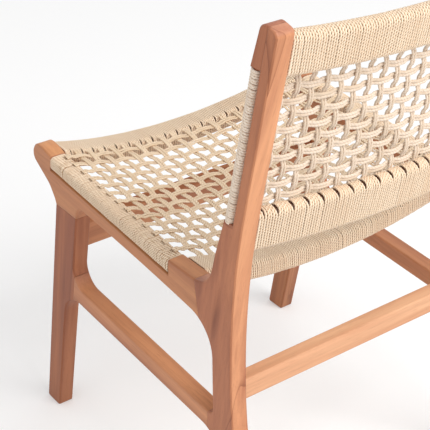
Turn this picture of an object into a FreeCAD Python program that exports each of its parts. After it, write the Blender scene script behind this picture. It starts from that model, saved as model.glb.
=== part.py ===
import FreeCAD, Part
import math
import os

import Sketcher

# Lamu chair: two joined side frames, cross bars between them, and a seat and a back of woven cord.
# X runs across the chair, Y from its front to its back and Z up. The origin lies on the floor.
# Lengths are in millimetres and angles in degrees. Heights are measured from the floor.
SIZES = {
    # side frames, cut from one thickness of wood
    "frame_width": 488.4,
    "frame_thickness": 25,
    "edge_cut": 1.6,
    # front leg
    "front_foot_reach": 298.3,
    "front_foot_depth": 36.5,
    "front_leg_depth": 52.4,
    "front_leg_angle": 11.9,
    "front_leg_back_angle": 12.55,
    "front_leg_low_back_angle": 12.73,
    "leg_joint_drop": 56,
    # rear leg and back post
    "rear_foot_reach": 247.2,
    "rear_foot_depth": 32,
    "rear_leg_back": 211.7,
    "rear_leg_depth": 40.2,
    "rear_leg_low_depth": 43.6,
    "rear_leg_bend_height": 289,
    "post_bend_height": 470.2,
    "post_angle": 13.22,
    "post_depth": 35,
    "post_slat_depth": 16,
    "back_height": 832.3,
    "head_height": 56,
    "head_depth": 29.5,
    "ledge_height": 562,
    "foot_corner_radius": 4.5,
    "head_front_radius": 12,
    "head_back_radius": 8,
    # side rail of the seat
    "seat_height": 457.1,
    "seat_angle": 4.7,
    "rail_depth": 46.5,
    "rail_arch": 3,
    "nose_reach": 271.3,
    "nose_rise": 3.7,
    "nose_ramp": 22,
    "nose_wrap_setback": 52.5,
    "nose_tip_radius": 20,
    "nose_under_radius": 14,
    "nose_hollow_radius": 35,
    "rear_block_length": 92.8,
    "haunch_setback": 7.7,
    "haunch_rise": 1.4,
    "haunch_radius": 40,
    "slot_depth": 24,
    "bar_depth": 18.5,
    "slot_end_setback": 4,
    "rail_joint_setback": 35.8,
    "rail_joint_angle": 8.7,
    # side stretcher
    "stretcher_height": 268.4,
    "stretcher_depth": 27,
    "stretcher_angle": 3.25,
    "stretcher_front_shoulder": 6,
    "stretcher_rear_shoulder": 11.3,
    "inner_corner_radius": 18,
    "rail_corner_radius": 50,
    "stretcher_corner_radius": 30,
    "knee_radius": 10,
    "front_knee_radius": 50,
    "rear_knee_radius": 35,
    # cord, and how far the wrapped bars stand back to take it
    "cord_diameter": 3.5,
    "side_recess": 2,
    "back_gap": 4,
    "ledge_block": 4,
    # bars across the chair
    "rear_stretcher_height": 322,
    "rear_stretcher_section_height": 31,
    "rear_stretcher_section_depth": 23,
    "rear_stretcher_setback": 8.5,
    "cross_rail_height": 372,
    "cross_rail_section_height": 47,
    "cross_rail_section_depth": 22,
    "cross_rail_setback": 12,
    "bar_edge_radius": 3,
    # bowed bars, given by their wrapped sections at the side frames
    "seat_front_reach": 239.8,
    "seat_front_height": 477.6,
    "seat_front_section_depth": 46,
    "seat_front_section_height": 30,
    "seat_front_bow": 18,
    "seat_front_dip": 36,
    "seat_rear_reach": 107.2,
    "seat_rear_height": 452.4,
    "seat_rear_section_depth": 46,
    "seat_rear_section_height": 30,
    "seat_rear_bow": 6,
    "seat_rear_dip": 33,
    "top_rail_height": 820.5,
    "top_rail_section_depth": 21,
    "top_rail_section_height": 55,
    "top_rail_bow": 5.5,
    "top_rail_dip": 12.7,
    "low_rail_height": 585,
    "low_rail_section_depth": 21,
    "low_rail_section_height": 61,
    "low_rail_bow": 18,
    "low_rail_dip": 5,
    "wrap_corner_cut": 5.3,
    "core_corner_cut": 3.2,
    # woven sheets
    "weave_thickness": 4,
    "warp_width": 7,
    "weft_width": 8,
    "seat_weave_reach": 247.8,
    "seat_weave_length": 345,
    "seat_weave_front_margin": 24,
    "seat_weave_rear_margin": 6.7,
    "seat_weave_side_margin": 0,
    "seat_weave_drop": 3,
    "seat_weave_sag": 35,
    "back_weave_height": 572,
    "back_weave_length": 222,
    "back_weave_low_margin": 20.4,
    "back_weave_high_margin": 26.3,
    "back_weave_side_margin": 10.5,
    "back_weave_setback": 21,
    "back_weave_sag": 15,
    "seat_gaps_across_count": 20,
    "seat_gaps_along_count": 14,
    "back_gaps_across_count": 20,
    "back_gaps_along_count": 9,
    # dowels
    "dowel_diameter": 8,
    "dowel_length": 36,
    "slim_dowel_diameter": 6,
    "stretcher_dowel_spacing": 12,
    "wide_dowel_spacing": 26,
    "dowel_side_count": 8,
    # how far a cutting block runs past what it cuts
    "overrun": 40,
}

# Corners under the nose, from its tip: shares of its length and of its drop to the leg.
NOSE_SHARES = [(0.95, 0.905), (0.73, 0.685), (0, 0.36)]
# Corner of the haunch, from the seat rail to the ledge: shares of its run and of its rise.
HAUNCH_SHARES = (0.5, 0.54)
# How much of the straight stretches beside a bend of the rear leg its curve takes up.
LEG_BEND_SHARE = 0.27
POST_BEND_SHARE = 0.68
# How far a bowed bar is turned past the side frames before it is trimmed.
BOW_OVERRUN_SHARE = 1.1
# An edge runs across the chair when at least this share of its length does.
ACROSS_SHARE = 0.9
# An opening has to take away at least this share of a slab.
OPENING_SHARE = 0.1
# Two points count as one when they are nearer than this.
SAME_PLACE = 0.001
# Turns a drawing from the floor plane to the side view: Y to the right and Z up.
SIDE_VIEW = FreeCAD.Rotation(FreeCAD.Vector(1, 1, 1), 120)

doc = FreeCAD.newDocument("LamuChair")
sheet = doc.addObject("Spreadsheet::Sheet", "Sizes")


class Size:
    """A number together with the sheet formula that gives it."""

    def __init__(self, number, formula):
        self.number = number
        self.formula = formula

    def __add__(self, other):
        other = as_size(other)
        return Size(self.number + other.number, "(%s + %s)" % (self.formula, other.formula))

    def __sub__(self, other):
        other = as_size(other)
        return Size(self.number - other.number, "(%s - %s)" % (self.formula, other.formula))

    def __mul__(self, other):
        other = as_size(other)
        return Size(self.number * other.number, "(%s * %s)" % (self.formula, other.formula))

    def __truediv__(self, other):
        other = as_size(other)
        return Size(self.number / other.number, "(%s / %s)" % (self.formula, other.formula))

    def __rsub__(self, other):
        return as_size(other) - self

    def __neg__(self):
        return Size(-self.number, "(0 - %s)" % self.formula)

    __radd__ = __add__
    __rmul__ = __mul__


def as_size(value):
    return value if isinstance(value, Size) else Size(value, repr(value))


def tangent(angle):
    return Size(math.tan(math.radians(angle.number)), "tan(%s)" % angle.formula)


def sine(angle):
    return Size(math.sin(math.radians(angle.number)), "sin(%s)" % angle.formula)


def cosine(angle):
    return Size(math.cos(math.radians(angle.number)), "cos(%s)" % angle.formula)


def root(value):
    return Size(math.sqrt(value.number), "sqrt(%s)" % value.formula)


def fill_sheet():
    """Write each size to its own cell and give it back under its name."""
    named = {}
    for row, (alias, value) in enumerate(SIZES.items(), start=1):
        sheet.set("A%d" % row, alias)
        sheet.set("B%d" % row, str(value))
        sheet.setAlias("B%d" % row, alias)
        named[alias] = Size(value, "Sizes." + alias)
    doc.recompute()
    return named


def bind(thing, setting, size):
    thing.setExpression(setting, as_size(size).formula)


class Steep:
    """A side line that climbs: its place at the floor, and how far it leans back per height."""

    def __init__(self, foot, lean):
        self.foot = foot
        self.lean = lean

    def at(self, height):
        return (self.foot + self.lean * height, height)

    def moved(self, back):
        return Steep(self.foot + back, self.lean)


class Level:
    """A side line that runs from front to back: its height at the origin, and its fall."""

    def __init__(self, height, fall):
        self.height = height
        self.fall = fall

    def at(self, place):
        return (place, self.height - self.fall * place)

    def moved(self, up):
        return Level(self.height + up, self.fall)


def meet(steep, level):
    place = (steep.foot + steep.lean * level.height) / (1 + steep.lean * level.fall)
    return level.at(place)


def distance_squared(start, end):
    along = end[0] - start[0]
    up = end[1] - start[1]
    return along * along + up * up


def origin_plane(body, role):
    for feature in body.Origin.OriginFeatures:
        if feature.Role == role:
            return feature


def draw_polygon(sketch, corners, arch=None):
    """Draw a closed outline; with an arch, its first side rises by that much on its way back."""
    points = [FreeCAD.Vector(y.number, z.number, 0) for y, z in corners]
    count = len(points)
    sides = [Part.LineSegment(point, points[(place + 1) % count]) for place, point in enumerate(points)]
    first_ends = [1] * count
    last_ends = [2] * count
    if arch is not None:
        radius = (distance_squared(corners[0], corners[1]) / 4 + arch * arch) / (2 * arch)
        sides[0] = arch_over(points[0], points[1], radius.number)
        first_ends[0], last_ends[0] = 2, 1
    sketch.addGeometry(sides, False)
    rules = []
    formulas = []
    for place in range(count):
        following = (place + 1) % count
        rules.append(
            Sketcher.Constraint("Coincident", place, last_ends[place], following, first_ends[following])
        )
    for place, (y, z) in enumerate(corners):
        end = first_ends[place]
        formulas.append((len(rules), y))
        rules.append(Sketcher.Constraint("DistanceX", -1, 1, place, end, y.number))
        formulas.append((len(rules), z))
        rules.append(Sketcher.Constraint("DistanceY", -1, 1, place, end, z.number))
    if arch is not None:
        formulas.append((len(rules), radius))
        rules.append(Sketcher.Constraint("Radius", 0, radius.number))
    sketch.addConstraint(rules)
    for rule, size in formulas:
        sketch.setExpression("Constraints[%d]" % rule, size.formula)


def arch_over(front, rear, radius):
    """An arc that rises above the line from its front end to its rear end."""
    chord = rear - front
    middle = (front + rear) * 0.5
    down = FreeCAD.Vector(chord.y, -chord.x, 0).normalize()
    hub = middle + down * math.sqrt(radius ** 2 - chord.Length ** 2 / 4)
    turns = [math.atan2(end.y - hub.y, end.x - hub.x) for end in (rear, front)]
    return Part.ArcOfCircle(Part.Circle(hub, FreeCAD.Vector(0, 0, 1), radius), *turns)


def side_sketch(body, name, corners, arch=None):
    sketch = body.newObject("Sketcher::SketchObject", name)
    sketch.AttachmentSupport = (origin_plane(body, "YZ_Plane"), [""])
    sketch.MapMode = "FlatFace"
    draw_polygon(sketch, corners, arch)
    return sketch


def is_across(edge):
    run = edge.lastVertex().Point - edge.firstVertex().Point
    return abs(run.x) > ACROSS_SHARE * edge.Length


def is_near(edge, corner):
    point = edge.firstVertex().Point
    return math.hypot(point.y - corner[0].number, point.z - corner[1].number) < SAME_PLACE


def round_corners(body, base, name, corners, radius):
    """Round the edges across the chair that stand at the given corners of the side view."""
    doc.recompute()
    found = []
    for place, edge in enumerate(base.Shape.Edges, start=1):
        if is_across(edge) and any(is_near(edge, corner) for corner in corners):
            found.append("Edge%d" % place)
    if len(found) != len(corners):
        raise RuntimeError("%s: %d of %d corners found" % (name, len(found), len(corners)))
    fillet = body.newObject("PartDesign::Fillet", name)
    fillet.Base = (base, found)
    bind(fillet, "Radius", radius)
    return fillet


def soften_edges(body, base, name, cut):
    """Take the sharpness off the long edges around both faces of a side frame."""
    doc.recompute()
    found = [
        "Edge%d" % place
        for place, edge in enumerate(base.Shape.Edges, start=1)
        if not is_across(edge)
    ]
    chamfer = body.newObject("PartDesign::Chamfer", name)
    chamfer.Base = (base, found)
    bind(chamfer, "Size", cut)
    return chamfer


def side_view_prism(name, corners, start, width):
    """A block across the chair with the given outline in the side view."""
    sketch = doc.addObject("Sketcher::SketchObject", name + "_outline")
    sketch.Placement = FreeCAD.Placement(FreeCAD.Vector(0, 0, 0), SIDE_VIEW)
    draw_polygon(sketch, corners)
    bind(sketch, "Placement.Base.x", start)
    prism = doc.addObject("Part::Extrusion", name)
    prism.Base = sketch
    prism.DirMode = "Normal"
    prism.Solid = True
    bind(prism, "LengthFwd", width)
    return prism


def join(name, pieces):
    joined = doc.addObject("Part::MultiFuse", name)
    joined.Shapes = pieces
    return joined


def shared_by(name, base, tool):
    common = doc.addObject("Part::Common", name)
    common.Base = base
    common.Tool = tool
    return common


def cut_from(name, base, tool):
    cut = doc.addObject("Part::Cut", name)
    cut.Base = base
    cut.Tool = tool
    return cut


size = fill_sheet()
half_width = size["frame_width"] / 2
inner_half_width = half_width - size["frame_thickness"]
inner_width = inner_half_width * 2
overrun = size["overrun"]

# Lines of the side view.
seat_line = Level(size["seat_height"], tangent(size["seat_angle"]))
rail_bottom = seat_line.moved(-size["rail_depth"])
stretcher_top = Level(size["stretcher_height"], tangent(size["stretcher_angle"]))
stretcher_bottom = stretcher_top.moved(-size["stretcher_depth"])
leg_front = Steep(-size["front_foot_reach"], tangent(size["front_leg_angle"]))
leg_back = Steep(
    size["front_leg_depth"] - size["front_foot_reach"], tangent(size["front_leg_back_angle"])
)
leg_low_back = Steep(
    size["front_foot_depth"] - size["front_foot_reach"], tangent(size["front_leg_low_back_angle"])
)
post_lean = tangent(size["post_angle"])
post_back = Steep(size["rear_leg_back"] - size["post_bend_height"] * post_lean, post_lean)
post_front = post_back.moved(-size["post_depth"])
slat_front = post_back.moved(-size["post_slat_depth"])
rear_leg_front = size["rear_leg_back"] - size["rear_leg_depth"]
leg_top = size["seat_height"] - size["leg_joint_drop"]
block_front = rear_leg_front - size["rear_block_length"]
wrap_front = size["nose_wrap_setback"] - size["nose_reach"]
strip_top = size["back_height"] - size["head_height"]


def nose_corners():
    """The underside of the nose, from the leg up to its tip."""
    tip_top = seat_line.at(-size["nose_reach"])[1] + size["nose_rise"]
    length = leg_front.at(leg_top)[0] + size["nose_reach"]
    drop = tip_top - leg_top
    corners = []
    for back_share, down_share in NOSE_SHARES:
        corners.append((length * back_share - size["nose_reach"], tip_top - drop * down_share))
    return corners


def outline_corners():
    """Named corners of the side frame, in order round it."""
    nose_top = seat_line.moved(size["nose_rise"])
    hollow_low, hollow_high, nose_under = nose_corners()
    haunch_foot = (rear_leg_front - size["haunch_setback"], seat_line.at(block_front)[1] + size["haunch_rise"])
    ledge_front = post_front.at(size["ledge_height"])
    head_top_front = (
        post_back.at(size["back_height"])[0] - size["head_depth"],
        size["back_height"],
    )
    head_top_back = post_back.at(size["back_height"] - size["head_depth"] * post_lean)
    rear_low_front = (
        size["rear_leg_back"] + (size["rear_foot_reach"] - size["rear_leg_back"])
        * (1 - stretcher_bottom.at(rear_leg_front)[1] / size["rear_leg_bend_height"])
        - size["rear_leg_low_depth"]
    )
    return {
        "front_toe": (-size["front_foot_reach"], as_size(0)),
        "front_heel": (size["front_foot_depth"] - size["front_foot_reach"], as_size(0)),
        "front_knee": meet(leg_low_back, stretcher_bottom),
        "rear_knee": stretcher_bottom.at(rear_low_front),
        "rear_toe": (size["rear_foot_reach"] - size["rear_foot_depth"], as_size(0)),
        "rear_heel": (size["rear_foot_reach"], as_size(0)),
        "leg_bend": (size["rear_leg_back"], size["rear_leg_bend_height"]),
        "post_bend": (size["rear_leg_back"], size["post_bend_height"]),
        "head_back": head_top_back,
        "head_front": head_top_front,
        "strip_top": post_front.at(strip_top),
        "ledge": ledge_front,
        "haunch": (
            haunch_foot[0] + (ledge_front[0] - haunch_foot[0]) * HAUNCH_SHARES[0],
            haunch_foot[1] + (ledge_front[1] - haunch_foot[1]) * HAUNCH_SHARES[1],
        ),
        "haunch_foot": haunch_foot,
        "block": seat_line.at(block_front),
        "nose_wrap": seat_line.at(wrap_front),
        "nose_ramp": nose_top.at(wrap_front - size["nose_ramp"]),
        "nose_tip": nose_top.at(-size["nose_reach"]),
        "nose_under": nose_under,
        "hollow_high": hollow_high,
        "hollow_low": hollow_low,
        "leg_shoulder": leg_front.at(leg_top),
    }


def opening_corners():
    """Corners of the space between rail, legs and stretcher, the arched underside of the rail first."""
    return {
        "rail_front": meet(leg_back, rail_bottom),
        "rail_rear": rail_bottom.at(rear_leg_front),
        "stretcher_rear": stretcher_top.at(rear_leg_front),
        "stretcher_front": meet(leg_back, stretcher_top),
    }


outer = outline_corners()
inner = opening_corners()


def bend_radius(share, run, turn):
    """Radius of a bend that takes up a share of a straight run."""
    return run * share / Size(math.tan(math.radians(turn.number / 2)), "tan(%s / 2)" % turn.formula)


def side_blank(name, start):
    """One side frame as a single slab, before it is parted into its pieces."""
    body = doc.addObject("PartDesign::Body", name)
    bind(body, "Placement.Base.x", start)
    pad = body.newObject("PartDesign::Pad", name + "_slab")
    pad.Profile = side_sketch(body, name + "_outline", list(outer.values()))
    bind(pad, "Length", size["frame_thickness"])
    doc.recompute()
    opening = body.newObject("PartDesign::Pocket", name + "_opening")
    opening.Profile = side_sketch(
        body, name + "_opening_outline", list(inner.values()), size["rail_arch"]
    )
    opening.Type = "ThroughAll"
    opening.Reversed = True
    doc.recompute()
    if opening.Shape.Volume > (1 - OPENING_SHARE) * pad.Shape.Volume:
        raise RuntimeError("the opening of %s cuts too little" % name)
    leg_turn = Size(
        math.degrees(math.atan(
            (size["rear_foot_reach"].number - size["rear_leg_back"].number)
            / size["rear_leg_bend_height"].number
        )),
        "atan((%s - %s) / %s)" % (
            size["rear_foot_reach"].formula,
            size["rear_leg_back"].formula,
            size["rear_leg_bend_height"].formula,
        ),
    )
    straight = size["post_bend_height"] - size["rear_leg_bend_height"]
    rounds = [
        ("feet", ["front_toe", "front_heel", "rear_toe", "rear_heel"], size["foot_corner_radius"]),
        ("front_knee", ["front_knee"], size["front_knee_radius"]),
        ("rear_knee", ["rear_knee"], size["rear_knee_radius"]),
        ("leg_bend", ["leg_bend"], bend_radius(LEG_BEND_SHARE, straight, leg_turn)),
        ("post_bend", ["post_bend"], bend_radius(POST_BEND_SHARE, straight, size["post_angle"])),
        ("head_back", ["head_back"], size["head_back_radius"]),
        ("head_front", ["head_front"], size["head_front_radius"]),
        ("haunch", ["haunch_foot"], size["haunch_radius"]),
        ("nose_tip", ["nose_tip"], size["nose_tip_radius"]),
        ("nose_under", ["nose_under"], size["nose_under_radius"]),
        ("nose_hollow", ["hollow_high"], size["nose_hollow_radius"]),
        ("rail_front", ["rail_front"], size["inner_corner_radius"]),
        ("rail_rear", ["rail_rear"], size["rail_corner_radius"]),
        ("stretcher_rear", ["stretcher_rear"], size["knee_radius"]),
        ("stretcher_front", ["stretcher_front"], size["stretcher_corner_radius"]),
    ]
    corners = {**outer, **inner}
    last = opening
    for part, names, radius in rounds:
        last = round_corners(
            body, last, "%s_%s" % (name, part), [corners[corner] for corner in names], radius
        )
    soften_edges(body, last, name + "_edges", size["edge_cut"])
    return body


def whole_width_prism(name, corners):
    return side_view_prism(name, corners, -(half_width + overrun), (half_width + overrun) * 2)


def piece_zones():
    """Where each piece of a side frame lies in the side view, parted along its joints."""
    below = -overrun
    above = size["back_height"] + overrun
    ahead = -(size["front_foot_reach"] + overrun)
    behind = post_back.at(above)[0] + overrun
    front_joint = leg_back.moved(size["stretcher_front_shoulder"])
    rear_joint = rear_leg_front - size["stretcher_rear_shoulder"]
    rail_end = rear_leg_front - size["rail_joint_setback"]
    joint_lean = -tangent(size["rail_joint_angle"])
    rail_joint = Steep(rail_end - joint_lean * size["seat_height"], joint_lean)
    opening_height = size["stretcher_height"] + overrun
    ledge = size["ledge_height"]
    return {
        "front_leg": [
            (ahead, below), front_joint.at(below), front_joint.at(leg_top), (ahead, leg_top),
        ],
        "side_stretcher": [
            front_joint.at(below), (rear_joint, below),
            (rear_joint, opening_height), front_joint.at(opening_height),
        ],
        "seat_rail": [
            (ahead, leg_top), front_joint.at(leg_top), front_joint.at(opening_height),
            rail_joint.at(opening_height), rail_joint.at(ledge), (ahead, ledge),
        ],
        "rear_leg": [
            (rear_joint, below), (rear_joint, opening_height),
            rail_joint.at(opening_height), rail_joint.at(ledge), slat_front.at(ledge),
            slat_front.at(above), (behind, above), (behind, below),
        ],
        "back_strip": [
            (rear_joint, ledge), slat_front.at(ledge), slat_front.at(above), (rear_joint, above),
        ],
    }


def frame_cores(name, corners):
    """The bars inside the cord of both side frames, as one tool."""
    recess = size["side_recess"]
    width = size["frame_thickness"] - recess * 2
    left = side_view_prism(name + "_left", corners, inner_half_width + recess, width)
    right = side_view_prism(name + "_right", corners, -(half_width - recess), width)
    return join(name, [left, right])


def rail_band(top, bottom, front, rear):
    """A stretch of the seat rail between two depths under the seat line."""
    high = seat_line.moved(-top)
    low = seat_line.moved(-bottom)
    return [low.at(front), low.at(rear), high.at(rear), high.at(front)]


def strip_band(front, rear, low, high):
    """A stretch of the back between two depths behind the front of the post."""
    near = post_front.moved(front)
    far = post_front.moved(rear)
    return [near.at(low), far.at(low), far.at(high), near.at(high)]


def rail_window():
    """What is cut from the seat rail: the slot and the recess round the bar above it."""
    cord = size["cord_diameter"]
    slot = whole_width_prism("rail_slot", rail_band(
        size["bar_depth"], size["slot_depth"], wrap_front - size["slot_end_setback"], block_front
    ))
    recess = whole_width_prism("rail_recess", rail_band(
        -overrun, size["bar_depth"], wrap_front, block_front
    ))
    cores = frame_cores("rail_cores", rail_band(
        cord, size["bar_depth"] + cord, wrap_front - overrun, block_front + overrun
    ))
    block = join("rail_window_block", [slot, recess])
    keep = shared_by("rail_core_bars", cores, recess)
    return cut_from("rail_window", block, keep)


def strip_window():
    """What is cut from the back strip: the slot behind it and the recess round it."""
    cord = size["cord_diameter"]
    low = size["ledge_height"] + size["ledge_block"]
    slot_front = size["post_depth"] - size["post_slat_depth"] - cord - size["back_gap"]
    block = whole_width_prism("strip_window_block", strip_band(
        -overrun, size["post_depth"] - size["post_slat_depth"], low, strip_top
    ))
    cores = frame_cores("strip_cores", strip_band(cord, slot_front, low - overrun, strip_top + overrun))
    return cut_from("strip_window", block, cores)


def side_wrap(name, corners, core, side):
    """A sleeve of cord round a bar of one side frame."""
    proud = size["cord_diameter"] - size["side_recess"]
    start = inner_half_width - proud if side > 0 else -(half_width + proud)
    sleeve = side_view_prism(name + "_sleeve", corners, start, size["frame_thickness"] + proud * 2)
    return cut_from(name, sleeve, core)


def leaning_section(centre, depth, height, lean):
    """Four corners of a section whose height follows a leaning line."""
    corners = []
    for across, up in [(-1, -1), (1, -1), (1, 1), (-1, 1)]:
        corners.append((
            centre[0] + depth / 2 * cosine(lean) * across + height / 2 * sine(lean) * up,
            centre[1] - depth / 2 * sine(lean) * across + height / 2 * cosine(lean) * up,
        ))
    return corners


def bowed_bar(name, centre, depth, height, lean, bow, dip, corner_cut):
    """A bar bowed backwards by bow and downwards by dip at its middle, trimmed to the side frames."""
    rise = root(bow * bow + dip * dip)
    bend = (inner_half_width * inner_half_width + rise * rise) / (2 * rise)
    middle = (centre[0] + bow, centre[1] - dip)
    body = doc.addObject("PartDesign::Body", name + "_body")
    sketch = side_sketch(body, name + "_section", leaning_section(middle, depth, height, lean))
    hub = (middle[0] - bend * bow / rise, middle[1] + bend * dip / rise)
    far = (hub[0] + dip, hub[1] + bow)
    axis = sketch.addGeometry(Part.LineSegment(
        FreeCAD.Vector(hub[0].number, hub[1].number, 0), FreeCAD.Vector(far[0].number, far[1].number, 0)
    ), True)
    for end, point in [(1, hub), (2, far)]:
        for kind, place in [("DistanceX", point[0]), ("DistanceY", point[1])]:
            rule = sketch.addConstraint(Sketcher.Constraint(kind, -1, 1, axis, end, place.number))
            sketch.setExpression("Constraints[%d]" % rule, place.formula)
    turned = body.newObject("PartDesign::Revolution", name + "_bow")
    turned.Profile = sketch
    turned.ReferenceAxis = (sketch, ["Axis0"])
    turned.Midplane = True
    bind(turned, "Angle", Size(0, "%s * asin(%s / %s)" % (
        2 * BOW_OVERRUN_SHARE, inner_half_width.formula, bend.formula
    )))
    doc.recompute()
    long_edges = [
        "Edge%d" % place
        for place, edge in enumerate(turned.Shape.Edges, start=1)
        if edge.Length > inner_width.number
    ]
    chamfer = body.newObject("PartDesign::Chamfer", name + "_corners")
    chamfer.Base = (turned, long_edges)
    bind(chamfer, "Size", corner_cut)
    return shared_by(name, body, between_frames)


def straight_bar(name, corners):
    """A bar with a rounded section that runs straight from one side frame to the other."""
    body = doc.addObject("PartDesign::Body", name + "_body")
    bind(body, "Placement.Base.x", -inner_half_width)
    pad = body.newObject("PartDesign::Pad", name + "_length")
    pad.Profile = side_sketch(body, name + "_section", corners)
    bind(pad, "Length", inner_width)
    round_corners(body, pad, name + "_corners", corners, size["bar_edge_radius"])
    return body


def dowel(name, centre, direction, diameter):
    """One dowel whose middle lies on the joint that it crosses."""
    pin = doc.addObject("Part::Prism", name)
    bind(pin, "Polygon", size["dowel_side_count"])
    bind(pin, "Circumradius", diameter / 2)
    bind(pin, "Height", size["dowel_length"])
    turns = {
        "x": FreeCAD.Rotation(FreeCAD.Vector(0, 1, 0), 90),
        "y": FreeCAD.Rotation(FreeCAD.Vector(1, 0, 0), -90),
        "z": FreeCAD.Rotation(),
    }
    pin.Placement = FreeCAD.Placement(FreeCAD.Vector(0, 0, 0), turns[direction])
    for axis, place in zip("xyz", centre):
        start = place - size["dowel_length"] / 2 if axis == direction else place
        bind(pin, "Placement.Base." + axis, start)
    return pin


def dowel_group(name, centres, direction, diameter):
    pins = [
        dowel("%s_%d" % (name, number), centre, direction, diameter)
        for number, centre in enumerate(centres, start=1)
    ]
    group = doc.addObject("Part::Compound", name)
    group.Links = pins
    return group


def on_both_sides(distance, places):
    """The same places of the side view, left and right."""
    return [(distance * side, y, z) for side in (1, -1) for y, z in places]


def pair(centre, spacing, lean):
    """Two places above each other, along a line that leans back."""
    half = spacing / 2
    return [
        (centre[0] - half * sine(lean), centre[1] - half * cosine(lean)),
        (centre[0] + half * sine(lean), centre[1] + half * cosine(lean)),
    ]


upright = as_size(0)
between_frames = doc.addObject("Part::Box", "between_frames")
bind(between_frames, "Length", inner_width)
bind(between_frames, "Width", (size["front_foot_reach"] + overrun) * 2)
bind(between_frames, "Height", size["back_height"] + overrun)
bind(between_frames, "Placement.Base.x", -inner_half_width)
bind(between_frames, "Placement.Base.y", -(size["front_foot_reach"] + overrun))


def back_rail_centre(rail):
    """Middle of a back rail at the side frame, its rear face flush with the back of the post."""
    depth = size[rail + "_section_depth"] / cosine(size["post_angle"])
    return post_back.moved(-(depth / 2)).at(size[rail + "_height"] - size[rail + "_section_height"] / 2)


# Bowed bars: middle of the wrapped section at the side frame, its size, lean, bow and dip.
BOWED_BARS = {
    "seat_front": dict(
        centre=(
            -size["seat_front_reach"],
            size["seat_front_height"] - size["seat_front_section_height"] / 2,
        ),
        depth=size["seat_front_section_depth"], height=size["seat_front_section_height"],
        lean=upright, bow=-size["seat_front_bow"], dip=size["seat_front_dip"],
    ),
    "seat_rear": dict(
        centre=(
            size["seat_rear_reach"],
            size["seat_rear_height"] - size["seat_rear_section_height"] / 2,
        ),
        depth=size["seat_rear_section_depth"], height=size["seat_rear_section_height"],
        lean=upright, bow=-size["seat_rear_bow"], dip=size["seat_rear_dip"],
    ),
    "back_top": dict(
        centre=back_rail_centre("top_rail"),
        depth=size["top_rail_section_depth"], height=size["top_rail_section_height"],
        lean=size["post_angle"], bow=size["top_rail_bow"], dip=size["top_rail_dip"],
    ),
    "back_lower": dict(
        centre=back_rail_centre("low_rail"),
        depth=size["low_rail_section_depth"], height=size["low_rail_section_height"],
        lean=size["post_angle"], bow=size["low_rail_bow"], dip=size["low_rail_dip"],
    ),
}


def stretcher_pair(place):
    """Two dowel places in the depth of the side stretcher."""
    middle = stretcher_top.moved(-(size["stretcher_depth"] / 2)).at(place)
    return pair(middle, size["stretcher_dowel_spacing"], upright)


def all_dowels():
    """Every dowel group, by node name."""
    frame_middle = inner_half_width + size["frame_thickness"] / 2
    wide = size["wide_dowel_spacing"] / 2
    narrow = size["stretcher_dowel_spacing"]
    leg_middle = (leg_front.at(leg_top)[0] + leg_back.at(leg_top)[0]) / 2
    front_shoulder = leg_back.moved(size["stretcher_front_shoulder"]).at(size["stretcher_height"])[0]
    rear_shoulder = rear_leg_front - size["stretcher_rear_shoulder"]
    rail_end = rear_leg_front - size["rail_joint_setback"]
    block_middle = rail_bottom.moved(size["rail_depth"] / 2).at(rail_end)
    rear_bar = (
        size["rear_leg_back"] - size["rear_stretcher_setback"] - size["rear_stretcher_section_depth"] / 2,
        size["rear_stretcher_height"] - size["rear_stretcher_section_height"] / 2,
    )
    cross_bar = cross_rail_centre()
    thick = size["dowel_diameter"]
    slim = size["slim_dowel_diameter"]
    bowed_places = []
    for name, bar in BOWED_BARS.items():
        y, z = bar["centre"]
        if name.startswith("seat"):
            bowed_places += [(y - narrow / 2, z), (y + narrow / 2, z)]
        else:
            bowed_places += pair(bar["centre"], size["wide_dowel_spacing"], bar["lean"])
    return {
        "leg_top_dowels": dowel_group("leg_top_dowels", on_both_sides(
            frame_middle, [(leg_middle - wide, leg_top), (leg_middle + wide, leg_top)]
        ), "z", thick),
        "seat_rail_dowels": dowel_group("seat_rail_dowels", on_both_sides(
            frame_middle, pair(block_middle, size["wide_dowel_spacing"], upright)
        ), "y", thick),
        "side_stretcher_dowels": dowel_group("side_stretcher_dowels", on_both_sides(
            frame_middle, stretcher_pair(front_shoulder) + stretcher_pair(rear_shoulder)
        ), "y", thick),
        "rear_stretcher_dowels": dowel_group("rear_stretcher_dowels", on_both_sides(
            inner_half_width, pair(rear_bar, narrow, upright)
        ), "x", thick),
        "cross_rail_dowels": dowel_group("cross_rail_dowels", on_both_sides(
            inner_half_width, pair(cross_bar, size["wide_dowel_spacing"], size["front_leg_angle"])
        ), "x", thick),
        "bowed_rail_dowels": dowel_group("bowed_rail_dowels", on_both_sides(
            inner_half_width, bowed_places
        ), "x", slim),
    }


def cross_rail_centre():
    """Middle of the cross rail, set back from the front of the legs."""
    height = size["cross_rail_height"] - size["cross_rail_section_height"] / 2
    front = leg_front.at(height)[0] + size["cross_rail_setback"]
    return (front + size["cross_rail_section_depth"] / 2, height)


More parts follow.
